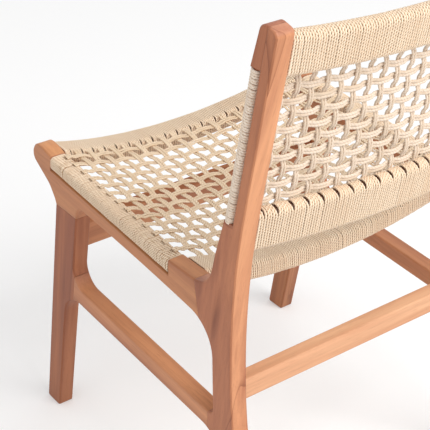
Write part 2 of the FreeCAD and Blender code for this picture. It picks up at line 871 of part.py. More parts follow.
def woven_sheet(name, length, sag, margins, side_margin, gaps_across, gaps_along, turn, start):
    """A sheet of cord with a gap between each pair of strands.

    It lies along Y and is dished across its width, then turned about X and moved to its start.
    """
    half = inner_half_width.number - (size["cord_diameter"].number - size["side_recess"].number)
    thickness = size["weave_thickness"].number
    pitch_x = (half - side_margin) * 2 / gaps_across
    pitch_y = (length - margins[0] - margins[1]) / gaps_along
    half_gap_x = (pitch_x - size["warp_width"].number) / 2
    half_gap_y = (pitch_y - size["weft_width"].number) / 2

    strands = [(column - gaps_across / 2) * pitch_x for column in range(gaps_across + 1)]
    ends = [-half] + strands + [half] if side_margin else strands
    top = [FreeCAD.Vector(x, 0, sag * ((x / half) ** 2 - 1)) for x in ends]
    bottom = [point - FreeCAD.Vector(0, 0, thickness) for point in reversed(top)]
    section = Part.Face(Part.makePolygon(top + bottom + top[:1]))
    dish = section.extrude(FreeCAD.Vector(0, length, 0))

    def rectangle(low_x, high_x, low_y, high_y):
        corners = [(low_x, low_y), (high_x, low_y), (high_x, high_y), (low_x, high_y), (low_x, low_y)]
        return Part.makePolygon([FreeCAD.Vector(x, y, -sag - thickness * 2) for x, y in corners])

    wires = [rectangle(-half, half, 0, length)]
    for column in range(gaps_across):
        for row in range(gaps_along):
            x = (strands[column] + strands[column + 1]) / 2
            y = margins[0] + (row + 1 / 2) * pitch_y
            wires.append(rectangle(x - half_gap_x, x + half_gap_x, y - half_gap_y, y + half_gap_y))
    net = Part.makeFace(wires, "Part::FaceMakerCheese")
    woven = doc.addObject("Part::Feature", name)
    woven.Shape = dish.common(net.extrude(FreeCAD.Vector(0, 0, sag * 2 + thickness * 4)))
    woven.Placement = FreeCAD.Placement(
        FreeCAD.Vector(0, start[0].number, start[1].number),
        FreeCAD.Rotation(FreeCAD.Vector(1, 0, 0), turn),
    )
    return woven


nodes = {}
dowels = all_dowels()
nodes.update(dowels)
every_dowel = doc.addObject("Part::Compound", "every_dowel")
every_dowel.Links = list(dowels.values())

# Wooden pieces of the two side frames.
zones = {name: whole_width_prism(name + "_zone", corners) for name, corners in piece_zones().items()}
windows = {"seat_rail": rail_window(), "back_strip": strip_window()}
blanks = {
    "left": side_blank("left_frame", inner_half_width),
    "right": side_blank("right_frame", -half_width),
}
for side, blank in blanks.items():
    for name, region in zones.items():
        node = "%s_%s" % (side, name)
        piece = shared_by(node + "_blank", blank, region)
        if name in windows:
            piece = cut_from(node + "_slotted", piece, windows[name])
        nodes[node] = cut_from(node, piece, every_dowel)

# Straight bars between the side frames.
rear_stretcher_back = size["rear_leg_back"] - size["rear_stretcher_setback"]
rear_stretcher_front = rear_stretcher_back - size["rear_stretcher_section_depth"]
rear_stretcher_bottom = size["rear_stretcher_height"] - size["rear_stretcher_section_height"]
rear_stretcher = straight_bar("rear_stretcher_bar", [
    (rear_stretcher_front, rear_stretcher_bottom), (rear_stretcher_back, rear_stretcher_bottom),
    (rear_stretcher_back, size["rear_stretcher_height"]),
    (rear_stretcher_front, size["rear_stretcher_height"]),
])
nodes["rear_stretcher"] = cut_from("rear_stretcher", rear_stretcher, every_dowel)
cross_rail = straight_bar("cross_rail_bar", leaning_section(
    cross_rail_centre(), size["cross_rail_section_depth"], size["cross_rail_section_height"],
    size["front_leg_angle"],
))
nodes["front_cross_rail"] = cut_from("front_cross_rail", cross_rail, every_dowel)

# Bowed bars and the cord wound round them.
cord = size["cord_diameter"]
BOWED_NAMES = {
    "seat_front": "seat_front_rail",
    "seat_rear": "seat_rear_rail",
    "back_top": "back_top_rail",
    "back_lower": "back_lower_rail",
}
wrap_forms = {}
for name, bar in BOWED_BARS.items():
    core = bowed_bar(
        name + "_core", bar["centre"], bar["depth"] - cord * 2, bar["height"] - cord * 2,
        bar["lean"], bar["bow"], bar["dip"], size["core_corner_cut"],
    )
    form = bowed_bar(name + "_form", **bar, corner_cut=size["wrap_corner_cut"])
    wrap_forms[name] = form
    nodes[BOWED_NAMES[name]] = cut_from(BOWED_NAMES[name], core, every_dowel)
    nodes[name + "_cord_wrap"] = cut_from(name + "_cord_wrap", form, core)

# Cord wound round the bars of the side frames.
rail_sleeve = rail_band(upright, size["bar_depth"] + cord, wrap_front, block_front)
strip_back = size["post_depth"] - size["post_slat_depth"] - size["back_gap"]
strip_sleeve = strip_band(
    upright, strip_back, size["ledge_height"] + size["ledge_block"], strip_top
)
for side, sign in (("left", 1), ("right", -1)):
    for name, corners, core in (
        ("seat", rail_sleeve, "rail_cores"),
        ("back", strip_sleeve, "strip_cores"),
    ):
        node = "%s_%s_cord_wrap" % (side, name)
        nodes[node] = side_wrap(node, corners, doc.getObject(core), sign)

# The two woven sheets end where they meet the wrapped bars.
seat_fall = (size["seat_front_height"] - size["seat_rear_height"]) / (
    size["seat_front_reach"] + size["seat_rear_reach"]
)
seat_tops = Level(size["seat_front_height"] - seat_fall * size["seat_front_reach"], seat_fall)
seat_sheet = woven_sheet(
    "seat_sheet", size["seat_weave_length"].number, size["seat_weave_sag"].number,
    (size["seat_weave_front_margin"].number, size["seat_weave_rear_margin"].number),
    size["seat_weave_side_margin"].number,
    SIZES["seat_gaps_across_count"], SIZES["seat_gaps_along_count"],
    -math.degrees(math.atan(seat_fall.number)),
    seat_tops.moved(-size["seat_weave_drop"]).at(-size["seat_weave_reach"]),
)
back_sheet = woven_sheet(
    "back_sheet", size["back_weave_length"].number, size["back_weave_sag"].number,
    (size["back_weave_low_margin"].number, size["back_weave_high_margin"].number),
    size["back_weave_side_margin"].number,
    SIZES["back_gaps_across_count"], SIZES["back_gaps_along_count"],
    90 - size["post_angle"].number,
    post_back.moved(-size["back_weave_setback"]).at(size["back_weave_height"]),
)
for name, woven, ends in (
    ("seat_weave", seat_sheet, ["seat_front", "seat_rear"]),
    ("back_weave", back_sheet, ["back_top", "back_lower"]),
):
    bars = doc.addObject("Part::Compound", name + "_bars")
    bars.Links = [wrap_forms[end] for end in ends]
    nodes[name] = cut_from(name, woven, bars)

# Every sub-part is checked before anything is written.
doc.recompute()
for thing in doc.Objects:
    if "Invalid" in thing.State or "Error" in thing.State:
        raise RuntimeError("%s failed: %s" % (thing.Name, thing.State))
os.makedirs("parts", exist_ok=True)
for node, thing in nodes.items():
    thing.Label = node
    shape = thing.Shape
    if shape.isNull() or not shape.isValid() or not shape.Solids:
        raise RuntimeError("%s has no valid shape" % node)
    box = shape.BoundBox
    print("%-26s solids %2d  volume %9.0f  x %7.1f %7.1f  y %7.1f %7.1f  z %7.1f %7.1f" % (
        node, len(shape.Solids), shape.Volume, box.XMin, box.XMax, box.YMin, box.YMax, box.ZMin, box.ZMax
    ))
    shape.exportStep("parts/%s.step" % node)
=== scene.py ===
"""Lamu chair: the looks of its wood and of its wound and woven cord.

Lengths are in metres. X runs across the chair, Y from front to back and Z up.
"""
import math

import bpy
import numpy as np
from mathutils import Matrix, Vector


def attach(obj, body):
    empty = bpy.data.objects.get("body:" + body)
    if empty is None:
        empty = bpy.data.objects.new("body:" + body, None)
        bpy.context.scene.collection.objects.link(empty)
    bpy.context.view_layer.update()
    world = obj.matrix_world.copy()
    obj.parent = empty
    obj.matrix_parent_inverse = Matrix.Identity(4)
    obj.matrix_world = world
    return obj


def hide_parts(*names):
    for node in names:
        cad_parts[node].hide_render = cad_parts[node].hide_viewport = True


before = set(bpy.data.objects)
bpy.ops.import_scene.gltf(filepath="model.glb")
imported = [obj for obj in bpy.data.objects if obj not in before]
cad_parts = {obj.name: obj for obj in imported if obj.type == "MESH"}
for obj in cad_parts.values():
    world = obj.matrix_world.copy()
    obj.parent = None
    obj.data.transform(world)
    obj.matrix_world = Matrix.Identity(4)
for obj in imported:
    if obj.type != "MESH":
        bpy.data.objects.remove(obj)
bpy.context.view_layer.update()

MM = 0.001
ACROSS = np.array([1.0, 0, 0])
REARWARD = np.array([0, 1.0, 0])
UPWARD = np.array([0, 0, 1.0])
WHITE = (1, 1, 1, 1)

# The cord. A turn lies every pitch along a bar, the two plies twist once round in a lay, and the
# cord has a ring of points every step. The last calm turns at each end move less than the others.
CORD = 3.5 * MM
RADIUS = CORD / 2
CORD_PITCH = 3.6 * MM
CORD_LAY = 8.5 * MM
CORD_STEP = 1.8 * MM
CORD_SIDES = 8
PLY_DEPTH = 0.17
FIRST_TWIST_RANGE = 6
# The painted shade on a cord's sides, where it touches the next one, is this dark.
SIDE_SHADE = 0.16
LOOP_POINTS = 400
CORNER_POINTS = 12
CALM_TURNS = 3

# Random lines: how many points lie between their knots, and how far they stray.
FINE, SLOW, BANDED = 6, 34, 320
LIFT_SPREAD = 0.12 * MM
BAR_SPREAD = 0.14 * MM
SIDE_SPREAD = 0.32 * MM
SIDE_SHADE_SPREAD = 0.8
TONE_SPREAD = 0.35
BAND_SPREAD = 0.6

# The side frames. The line of the posts' backs would meet the floor at POST_BACK_FOOT, and the
# fronts of the wound strips lie STRIP_FRONT before that line.
HALF_WIDTH = 244.2 * MM
INNER_HALF_WIDTH = 219.2 * MM
WRAP_PROUD = 1.5 * MM
SEAT_HEIGHT = 457.1 * MM
SEAT_FALL = math.tan(math.radians(4.7))
POST_ANGLE = math.radians(13.22)
POST_LEAN = math.tan(POST_ANGLE)
POST_BACK_FOOT = 211.7 * MM - 470.2 * MM * POST_LEAN
STRIP_FRONT = 35 * MM
FRONT_LEG_LEAN = math.tan(math.radians(12))
WRAP_CORNER = 9 * MM
SIDE_WRAP_CORNER = 7 * MM
BACK_RAIL_DEPTH = 21 * MM

# The woven sheets. Strands are counted from the middle of the chair outwards.
STRANDS_A_SIDE = 11
CORD_APART = 0.44
FLATNESS = 2.2

SEAT_WARP_PITCH = 23.2 * MM
SEAT_CROWDING = 0.012 * MM
SEAT_WARPS_A_SIDE = 9
SEAT_WARP_START = -231 * MM
SEAT_WARP_END = 98 * MM
SEAT_WARP_EASE = 16 * MM
SEAT_WARP_SINK = 1.5 * MM
SEAT_WARP_POINTS = 190
SEAT_WEFT_PITCH = 22.5 * MM
SEAT_WEFT_COUNT = 13
SEAT_FIRST_WEFT = -204.5 * MM
SEAT_WEFT_POINTS = 260
SEAT_EDGE = 14 * MM
SEAT_SETTLE = 2.2 * MM
SEAT_STRAND = 5.3 * MM
SEAT_WAVE = 1.1 * MM
SEAT_STRAY = 0.3 * MM
# Painted shade between the two cords of a seat strand.
SEAT_CORD = dict(width=SEAT_STRAND, height=0.66 * CORD, side_shade=0.25)

BACK_WARP_PITCH = 20.72 * MM
BACK_WARPS_A_SIDE = 10
BACK_WARP_START = 578 * MM
BACK_WARP_END = 767 * MM
BACK_WARP_EASE = 12 * MM
BACK_WARP_STRAY = 0.25 * MM
BACK_WARP_POINTS = 120
BACK_WEFT_PITCH = 18.98 * MM
BACK_WEFT_COUNT = 9
BACK_FIRST_WEFT = 591.8 * MM
BACK_WEFT_STRAY = 0.2 * MM
BACK_WEFT_POINTS = 250
BACK_LOW = 572 * MM
BACK_HIGH = 794 * MM
BACK_LOW_SETBACK = 18 * MM
BACK_HIGH_SETBACK = 21 * MM
BACK_WAVE = 1.6 * MM
BACK_WARP = 4 * MM
BACK_WEFT = 4.6 * MM

# The ends of the back's warps in the sections of their rails, from where they leave the weave.
LOW_END_U = (-4 * MM, -7 * MM)
LOW_END_SINK = (-6.5 * MM, -0.8 * MM)
LOW_END_POINTS = 5
TOP_END_RISE = (5 * MM, 16 * MM)
TOP_END_SINK = (-0.6 * MM, 2.4 * MM)
TOP_END_POINTS = 7

# The surface of the cord. Its colour is darkened by painted shade in the hollows between its plies and on
# its sides, where it touches the next cord; up to CREST_END of that shade it keeps the colour of its crests.
CREST_END = 0.6
TONE_GAIN = 0.45
TONE_MIDDLE = 0.3
FIBRE = dict(scale=900, detail=4)
FIBRE_STOPS = ((0.3, (0.35, 0.35, 0.35, 1)), (0.7, (0.65, 0.65, 0.65, 1)))
FIBRE_STRENGTH = 0.25

# Patterns of the wood, drawn out along the grain by the share, and the places of their colours.
FIGURE = dict(share=0.07, scale=30, detail=4, distortion=0.5)
FIGURE_PLACES = (0.3, 0.5, 0.7)
RING_FIELD = dict(share=0.045, scale=16, detail=2, distortion=0.4)
RING_STOPS = (
    (0.0, (0.56, 0.46, 0.4, 1)), (0.035, (0.75, 0.68, 0.64, 1)), (0.16, WHITE), (1.0, (0.95, 0.93, 0.92, 1)),
)
STREAKS = dict(share=0.03, scale=190, detail=3)
STREAK_STOPS = ((0.3, (0.78, 0.75, 0.73, 1)), (0.6, WHITE))
STREAK_STRENGTH = 0.5
PORES = dict(share=0.06, scale=800, detail=2)
PORE_STOPS = ((0.3, (0.6, 0.55, 0.52, 1)), (0.42, WHITE))
PORE_STRENGTH = 0.3
END_GRAIN = (0.82, 0.79, 0.94, 1)
FACE_TURNED_AWAY = 0.35
FACE_TURNED_TO = 0.9
# How high above the floor the painted shade on the wood reaches.
FLOOR_SHADE_REACH = 0.33
SEED_STEPS = (0.37, 0.21, 0.53)
LEAST_ROUGH = 0.4
MOST_ROUGH = 0.55
SOFT_EDGE = 2.6 * MM

# Stage and light.
FLOOR_REACH = 30
FLOOR_GLOW = 0.25
WORLD_LIGHT = 0.68
WORLD_SEEN = 1
LAMP_TARGET = (0, 0, 0.4)
LAMPS = {
    "key": dict(place=(-1.1, 4.0, 3.75), size=3.8, power=242, colour=(1, 0.985, 0.965)),
    "fill": dict(place=(3.0, 0.4, 1.8), size=2.5, power=8, colour=(1, 1, 1)),
}

# The camera, worked out from the straight edges of the stretchers and legs.
PHOTO_WIDTH = 430
CAMERA_PLACE = (0.9909, 1.2266, 1.3076)
CAMERA_YAW = math.radians(-144.41)
CAMERA_PITCH = math.radians(30.06)
CAMERA_ROLL = math.radians(-0.765)
FOCAL_PIXELS = 1268.7
SENSOR = 36
NEAREST_SEEN = 0.05
FARTHEST_SEEN = 100

# Wooden bars inside the cord.
CORES = ("seat_front_rail", "seat_rear_rail", "back_top_rail", "back_lower_rail")

chance = np.random.default_rng(7)


def linear(red, green, blue):
    """A colour as the photograph shows it, from 0 to 255, as Blender's linear colour."""
    shares = [value / 255 for value in (red, green, blue)]
    return [
        share / 12.92 if share < 0.04045 else ((share + 0.055) / 1.055) ** 2.4
        for share in shares
    ] + [1]


def blend(start, end, share):
    return start * (1 - share) + end * share


def eased(value):
    """0 below 0, 1 above 1 and smooth between."""
    value = np.clip(value, 0, 1)
    return value * value * (3 - 2 * value)


def wandering(count, spread, stretch=FINE):
    """A random line that strays from 0 by about spread, with a knot every stretch points or so."""
    knots = chance.normal(0, spread, count // stretch + 4)
    return np.interp(np.linspace(0, len(knots) - 1, count), np.arange(len(knots)), knots)


# Bars inside the cord.

class Bar:
    """A bar bent to an arc, which bows along Y and dips.

    Centre is the middle of its section at the side frames, and lean how far the section leans back.
    In the section u runs rearwards and v upwards.
    """

    def __init__(self, centre, depth, tall, bow, dip, lean=0):
        rise = math.hypot(bow, dip)
        self.centre = centre
        self.depth = depth
        self.tall = tall
        self.bow = bow
        self.dip = dip
        self.bend = (INNER_HALF_WIDTH ** 2 + rise ** 2) / (2 * rise)
        self.middle = np.array([centre[0] + bow, centre[1] - dip])
        self.out = np.array([bow, -dip]) / rise
        self.axis = np.array([dip, bow]) / rise
        self.hub = self.middle - self.out * self.bend
        self.back = np.array([math.cos(lean), -math.sin(lean)])
        self.up = np.array([math.sin(lean), math.cos(lean)])

    def across(self, share):
        """Place across the chair for a share of the way along the bar's wound length."""
        arc = math.asin((INNER_HALF_WIDTH - RADIUS) / self.bend)
        return self.bend * np.sin((2 * share - 1) * arc)

    def point(self, x, u, v):
        """Points of the chair for places across it and in the section."""
        x, u, v = np.broadcast_arrays(x, u, v)
        flat = self.middle + u[..., None] * self.back + v[..., None] * self.up
        reach = (flat - self.hub) @ self.out
        slide = (flat - self.hub) @ self.axis
        inward = np.sqrt(reach ** 2 - x ** 2)
        place = self.hub + inward[..., None] * self.out + slide[..., None] * self.axis
        return np.stack([x, place[..., 0], place[..., 1]], axis=-1)


def seat_bar(centre, bow, dip):
    """The bar at the front or the rear edge of the seat."""
    return Bar(centre, depth=46 * MM, tall=30 * MM, bow=bow, dip=dip)


def back_bar(top, tall, bow, dip):
    """A bar between the posts, flush with their backs, from the height of its top."""
    height = top - tall / 2
    y = POST_BACK_FOOT + height * POST_LEAN - BACK_RAIL_DEPTH / math.cos(POST_ANGLE) / 2
    return Bar((y, height), BACK_RAIL_DEPTH, tall, bow, dip, POST_ANGLE)


BARS = {
    "seat_front": seat_bar(centre=(-239.8 * MM, 462.6 * MM), bow=-18 * MM, dip=36 * MM),
    "seat_rear": seat_bar(centre=(107.2 * MM, 437.4 * MM), bow=-6 * MM, dip=33 * MM),
    "back_top": back_bar(top=820.5 * MM, tall=55 * MM, bow=5.5 * MM, dip=12.7 * MM),
    "back_lower": back_bar(top=585 * MM, tall=61 * MM, bow=18 * MM, dip=5 * MM),
}


class Landing:
    """Where strands land on a wound bar, and how its turns part there.

    Middle is the place in the section and reach the distance round it. The turns part into groups,
    one for each strand, by the width of the slit between two groups; slit is its place between two
    strands. Drag is how far the strands pull the turns out of line.
    """

    def __init__(self, middle, reach, width, slit, drag=0.0):
        self.middle = middle
        self.reach = reach
        self.width = width
        self.slit = slit
        self.drag = drag

    def moves(self, share, u, v, turns, strand_at):
        """How far the points of a winding move along its bar; strand_at counts the strands along it."""
        distance = np.hypot(u - self.middle[0], v - self.middle[1])
        per_turn = len(share) // (turns + 2)
        first = per_turn + np.argmin(distance[per_turn:2 * per_turn])
        turn = np.round((share - share[first]) * turns)
        place = strand_at(share[first] + turn / turns) - self.slit
        parted = -(place - np.floor(place) - 0.5) * self.width
        pull = at_turns(share, turns, wandering(turns + 1, 1)) * self.drag
        near = np.exp(-(distance / self.reach) ** 4)
        far = np.exp(-(distance / self.reach / 2) ** 2)
        from_end = np.clip(np.minimum(share, 1 - share) * turns / CALM_TURNS, 0, 1)
        return (parted * near + pull * far) * from_end


class SideBar:
    """A straight wound bar of a side frame, in the plane of Y and Z.

    Ends are the places of its ends on the axis along which the wefts are counted, Y or Z. Start is
    the first end, step the way along the bar for a metre on that axis, and up points to the outer
    face. In the section u runs across the chair and v along up.
    """

    def __init__(self, ends, start, step, up, tall, first_weft, weft_pitch, landing):
        self.ends = ends
        self.start = np.array(start)
        self.along = np.array(step) * (ends[1] - ends[0])
        self.up = np.array(up)
        self.tall = tall
        self.first_weft = first_weft
        self.weft_pitch = weft_pitch
        self.landing = landing

    def weft_at(self, share):
        """The count of the weft at a share of the way along the bar."""
        place = self.ends[0] + share * (self.ends[1] - self.ends[0])
        return (place - self.first_weft) / self.weft_pitch


def seat_side_bar():
    """The upper bar of a seat rail, which falls towards the back."""
    front, rear = -218.8 * MM, 78.7 * MM
    return SideBar(
        ends=(front, rear),
        start=(front, SEAT_HEIGHT - SEAT_FALL * front),
        step=(1, -SEAT_FALL),
        up=np.array([SEAT_FALL, 1]) * math.cos(math.atan(SEAT_FALL)),
        tall=22 * MM,
        first_weft=SEAT_FIRST_WEFT,
        weft_pitch=SEAT_WEFT_PITCH,
        landing=Landing(middle=(10 * MM, 10 * MM), reach=6 * MM, width=0.8 * MM, slit=0.5, drag=0.25 * MM),
    )


def back_side_bar():
    """The strip in front of a post."""
    low, high = 566 * MM, 776.3 * MM
    return SideBar(
        ends=(low, high),
        start=(POST_BACK_FOOT + POST_LEAN * low - STRIP_FRONT, low),
        step=(POST_LEAN, 1),
        up=(-math.cos(POST_ANGLE), math.sin(POST_ANGLE)),
        tall=14.6 * MM,
        first_weft=BACK_FIRST_WEFT,
        weft_pitch=BACK_WEFT_PITCH,
        landing=Landing(middle=(14 * MM, -5 * MM), reach=7 * MM, width=2 * MM, slit=0.5, drag=0.3 * MM),
    )


# Wound cord.

def rounded_loop(half_u, half_v, corner):
    """Places round a rounded rectangle at even steps, and the length of the way round."""
    points = []
    for quarter, sign_u, sign_v in ((0, 1, 1), (1, -1, 1), (2, -1, -1), (3, 1, -1)):
        for turn in np.linspace(0, math.pi / 2, CORNER_POINTS):
            angle = quarter * math.pi / 2 + turn
            points.append((
                sign_u * (half_u - corner) + corner * math.cos(angle),
                sign_v * (half_v - corner) + corner * math.sin(angle),
            ))
    points = np.array(points + points[:1])
    steps = np.hypot(*np.diff(points, axis=0).T)
    run = np.concatenate([[0], np.cumsum(steps)])
    even = np.linspace(0, run[-1], LOOP_POINTS)
    return np.interp(even, run, points[:, 0]), np.interp(even, run, points[:, 1]), run[-1]


def at_turns(share, turns, values):
    """Values given for each turn of a winding, at all its points."""
    return np.interp(share * turns, np.arange(turns + 1), values)


def winding(width, tall, corner, turns):
    """Places in the section of a cord that goes round a bar: share of the way along, u and v.

    Width, tall and corner are those of the wound bar. One more turn lies square to it at each end.
    """
    loop_u, loop_v, length = rounded_loop(width / 2 - RADIUS, tall / 2 - RADIUS, corner - RADIUS)
    per_turn = round(length / CORD_STEP)
    turn = np.arange((turns + 2) * per_turn + 1) / per_turn
    share = np.clip((turn - 1) / turns, 0, 1)
    around = turn % 1 * (LOOP_POINTS - 1)
    places = np.arange(LOOP_POINTS)
    u = np.interp(around, places, loop_u)
    v = np.interp(around, places, loop_v)
    lift = at_turns(share, turns, wandering(turns + 1, LIFT_SPREAD))
    size = np.hypot(u, v)
    return share, u * (1 + lift / size), v * (1 + lift / size)


def uneven(share, turns, spread):
    """Small moves that keep the turns from lying quite evenly."""
    return at_turns(share, turns, chance.normal(0, spread, turns + 1))


def bar_cord(bar, landing, columns):
    """The cord round a curved bar, opened in slits where the warps land."""
    turns = round(2 * bar.bend * math.asin(INNER_HALF_WIDTH / bar.bend) / CORD_PITCH)
    share, u, v = winding(bar.depth, bar.tall, WRAP_CORNER, turns)
    moves = landing.moves(share, u, v, turns, lambda passing: count_at(bar.across(passing), columns))
    x = bar.across(share) + moves + uneven(share, turns, BAR_SPREAD)
    limit = INNER_HALF_WIDTH - RADIUS
    return bar.point(np.clip(x, -limit, limit), u, v)


def side_cord(bar, side):
    """The cord round a straight bar of a side frame; side is 1 for the left and -1 for the right."""
    length = np.linalg.norm(bar.along)
    turns = round(length / CORD_PITCH)
    width = HALF_WIDTH - INNER_HALF_WIDTH + 2 * WRAP_PROUD
    share, u, v = winding(width, bar.tall, SIDE_WRAP_CORNER, turns)
    moves = bar.landing.moves(share, -side * u, v, turns, bar.weft_at)
    run = RADIUS + share * (length - 2 * RADIUS) + uneven(share, turns, SIDE_SPREAD) + moves
    passed = np.clip(run, RADIUS, length - RADIUS) / length
    line = bar.start + passed[:, None] * bar.along + (v - bar.tall / 2)[:, None] * bar.up
    middle = side * (HALF_WIDTH + INNER_HALF_WIDTH) / 2
    return np.column_stack([middle + u, line])


def tube_faces(count):
    """Faces of a tube of CORD_SIDES sides along count points."""
    first = np.arange(count - 1)[:, None] * CORD_SIDES
    here = np.arange(CORD_SIDES)[None]
    following = (here + 1) % CORD_SIDES
    corners = [first + here, first + following, first + CORD_SIDES + following, first + CORD_SIDES + here]
    return np.stack(corners, axis=-1).reshape(-1, 4)


def rope(path, level, depth=PLY_DEPTH, width=CORD, height=CORD, side_shade=SIDE_SHADE):
    """A two-ply cord along a line of points: its vertices, faces, painted shade and tones.

    Level is the direction in which the cord's width is measured, depth how deep the hollows between its
    plies are and side_shade how dark the painted shade on its sides is, where it touches the next cord.
    """
    forward = np.gradient(path, axis=0)
    forward /= np.linalg.norm(forward, axis=1)[:, None]
    up = np.cross(forward, level)
    up /= np.linalg.norm(up, axis=1)[:, None]
    across = np.cross(up, forward)
    run = np.concatenate([[0], np.cumsum(np.linalg.norm(np.diff(path, axis=0), axis=1))])
    twist = 2 * math.pi * run / CORD_LAY + chance.uniform(0, FIRST_TWIST_RANGE)
    angles = np.arange(CORD_SIDES) * 2 * math.pi / CORD_SIDES
    ply = np.cos(2 * (angles[None] - twist[:, None]))
    swell = 1 - depth + depth * ply
    ring = (
        (np.cos(angles) * width / 2 * swell)[..., None] * across[:, None]
        + (np.sin(angles) * height / 2 * swell)[..., None] * up[:, None]
    )
    vertices = (path[:, None] + ring).reshape(-1, 3)
    count = len(path)
    # Painted shade on the sides of the cord where it touches the next one, which strays slowly along it.
    side_shade_strength = side_shade * (1 + wandering(count, SIDE_SHADE_SPREAD, SLOW))
    side_shade_mask = np.abs(np.cos(angles)) ** 2 * side_shade_strength[:, None]
    # Painted shade: darker in the hollows between the plies and on the sides next to other cords.
    cord_shade = np.clip((1 - ply) / 2 + side_shade_mask, 0, 1).reshape(-1)
    tone = (
        wandering(count, TONE_SPREAD)
        + wandering(count, TONE_SPREAD, SLOW)
        + wandering(count, BAND_SPREAD, BANDED)
    )
    return vertices, tube_faces(count), cord_shade, np.repeat(tone, CORD_SIDES)


def cord_piece(name, ropes, material, *nodes):
    """One object made of cords, which stands for CAD nodes."""
    vertices, faces, cord_shades, tones = zip(*ropes)
    starts = np.cumsum([0] + [len(points) for points in vertices])
    faces = np.concatenate([made + start for made, start in zip(faces, starts)])
    vertices = np.concatenate(vertices)
    mesh = bpy.data.meshes.new(name)
    mesh.vertices.add(len(vertices))
    mesh.vertices.foreach_set("co", vertices.astype(np.float32).ravel())
    mesh.loops.add(faces.size)
    mesh.loops.foreach_set("vertex_index", faces.astype(np.int32).ravel())
    mesh.polygons.add(len(faces))
    mesh.polygons.foreach_set("loop_start", np.arange(0, faces.size, 4, dtype=np.int32))
    mesh.polygons.foreach_set("use_smooth", np.ones(len(faces), dtype=bool))
    # The first attribute carries the painted shade of the cords, the second their tone.
    for label, parts in (("cord_shade", cord_shades), ("tone", tones)):
        values = np.concatenate(parts).astype(np.float32)
        mesh.attributes.new(label, "FLOAT", "POINT").data.foreach_set("value", values)
    mesh.update(calc_edges=True)
    mesh.validate()
    mesh.materials.append(material)
    piece = bpy.data.objects.new(name, mesh)
    bpy.context.scene.collection.objects.link(piece)
    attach(piece, "root")
    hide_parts(*nodes)


# The woven sheets.

def strand_columns(pitch, crowding=0):
    """Places of the strands across the chair, from STRANDS_A_SIDE right of its middle to as many left."""
    count = np.arange(-STRANDS_A_SIDE, STRANDS_A_SIDE + 1)
    return pitch * count - crowding * count ** 3


SEAT_COLUMNS = strand_columns(SEAT_WARP_PITCH, SEAT_CROWDING)
BACK_COLUMNS = strand_columns(BACK_WARP_PITCH)


def count_at(x, columns):
    """The count of the strand at a place across the chair, with its fraction between two strands."""
    return np.interp(x, columns, np.arange(-STRANDS_A_SIDE, STRANDS_A_SIDE + 1))


def warps_of(columns, a_side):
    """The counts and places of the warps of a sheet."""
    return [(count, columns[count + STRANDS_A_SIDE]) for count in range(-a_side, a_side + 1)]


def seat_point(x, y):
    """The middle of the seat's weave; y is the place at the side frames."""
    front, rear = BARS["seat_front"], BARS["seat_rear"]
    fore = front.point(x, SEAT_EDGE, front.tall / 2 - RADIUS)
    aft = rear.point(x, -SEAT_EDGE, rear.tall / 2 - RADIUS)
    start, end = front.centre[0] + SEAT_EDGE, rear.centre[0] - SEAT_EDGE
    share = ((y - start) / (end - start))[..., None]
    place = blend(fore, aft, share)
    place[..., 2:] -= SEAT_SETTLE * np.clip(8 * share * (1 - share), 0, 1)
    return place


def back_point(x, height):
    """The middle of the back's weave; height is the place at the side frames."""
    low, top = BARS["back_lower"], BARS["back_top"]
    share = (height - BACK_LOW) / (BACK_HIGH - BACK_LOW)
    full = 1 - (x / INNER_HALF_WIDTH) ** 2
    setback = blend(BACK_LOW_SETBACK, BACK_HIGH_SETBACK, share)
    y = POST_BACK_FOOT + POST_LEAN * height - setback + blend(low.bow, top.bow, share) * full
    z = height - blend(low.dip, top.dip, share) * full
    return np.stack(np.broadcast_arrays(x, y, z), axis=-1)


def over_and_under(count):
    """The path of a strand that lies flat on even counts and flat under odd ones."""
    return np.tanh(FLATNESS * np.cos(math.pi * count)) / math.tanh(FLATNESS)


def between(place, start, end, ease):
    """1 between start and end, easing to 0 at both."""
    return eased((place - start) / ease) * eased((end - place) / ease)


def pair(width):
    """Where the two cords of a strand lie from its middle, pressed together side by side."""
    return (-CORD_APART * width, CORD_APART * width)


def seat_warps():
    """The strands of the seat that run from front to back."""
    warps = []
    y = np.linspace(SEAT_WARP_START, SEAT_WARP_END, SEAT_WARP_POINTS)
    away = between(y, SEAT_WARP_START, SEAT_WARP_END, SEAT_WARP_EASE)
    rows = (y - SEAT_FIRST_WEFT) / SEAT_WEFT_PITCH
    for count, place in warps_of(SEAT_COLUMNS, SEAT_WARPS_A_SIDE):
        wave = SEAT_WAVE * over_and_under(rows + count) * away - SEAT_WARP_SINK * (1 - away)
        for side in pair(SEAT_STRAND):
            line = seat_point(place + side + wandering(len(y), SEAT_STRAY), y)
            line[:, 2] += wave
            warps.append(rope(line, ACROSS, depth=0.09, **SEAT_CORD))
    return warps


def seat_weft_ends(beyond):
    """How far a weft lies above the seat's surface at a distance beyond its side.

    It climbs on to the wound side bar and then dives between two turns.
    """
    climb, climb_from, climb_run = 0.9 * MM, 4 * MM, 6 * MM
    dive, dive_run = 2.6 * MM, 8 * MM
    return climb * eased((beyond + climb_from) / climb_run) - dive * eased(beyond / dive_run)


